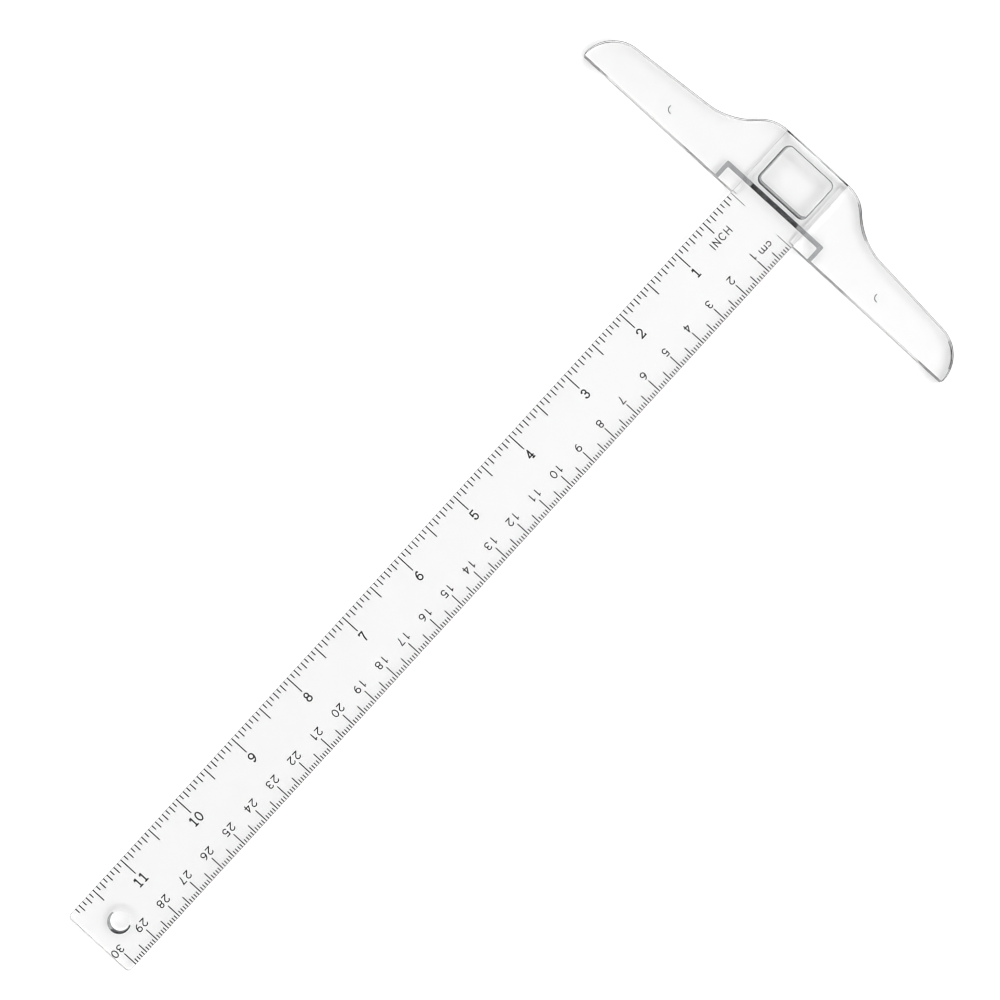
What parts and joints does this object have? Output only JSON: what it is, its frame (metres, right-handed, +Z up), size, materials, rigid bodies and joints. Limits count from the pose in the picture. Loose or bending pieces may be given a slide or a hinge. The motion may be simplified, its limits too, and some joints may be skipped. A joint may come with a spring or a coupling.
{
  "type": "t square",
  "caption": "Clear plastic drafting T square: a winged head with a raised pad and a ruled inch and centimetre blade that slides into its slot.",
  "frame": {"origin": "where the head's working edge crosses the blade's centreline, on the plane that the head rests on", "axes": "+X along the blade away from the head, +Y towards the metric edge, +Z up out of the printed face"},
  "size_m": [0.3297, 0.15, 0.0059],
  "materials": {
    "head_plastic": "clear moulded acrylic, gloss",
    "blade_plastic": "clear moulded acrylic, gloss",
    "ink": "black printing ink, satin"
  },
  "bodies": {
    "head": {"head": "head_plastic"},
    "blade": {"blade": "blade_plastic", "inch_graduations": "ink", "metric_graduations": "ink", "inch_numerals": "ink", "metric_numerals": "ink", "unit_labels": "ink"}
  },
  "joints": [
    {"name": "blade_slide", "type": "slide", "parent": "head", "child": "blade", "axis": [1, 0, 0], "range_m": [0, 0.015]}
  ]
}
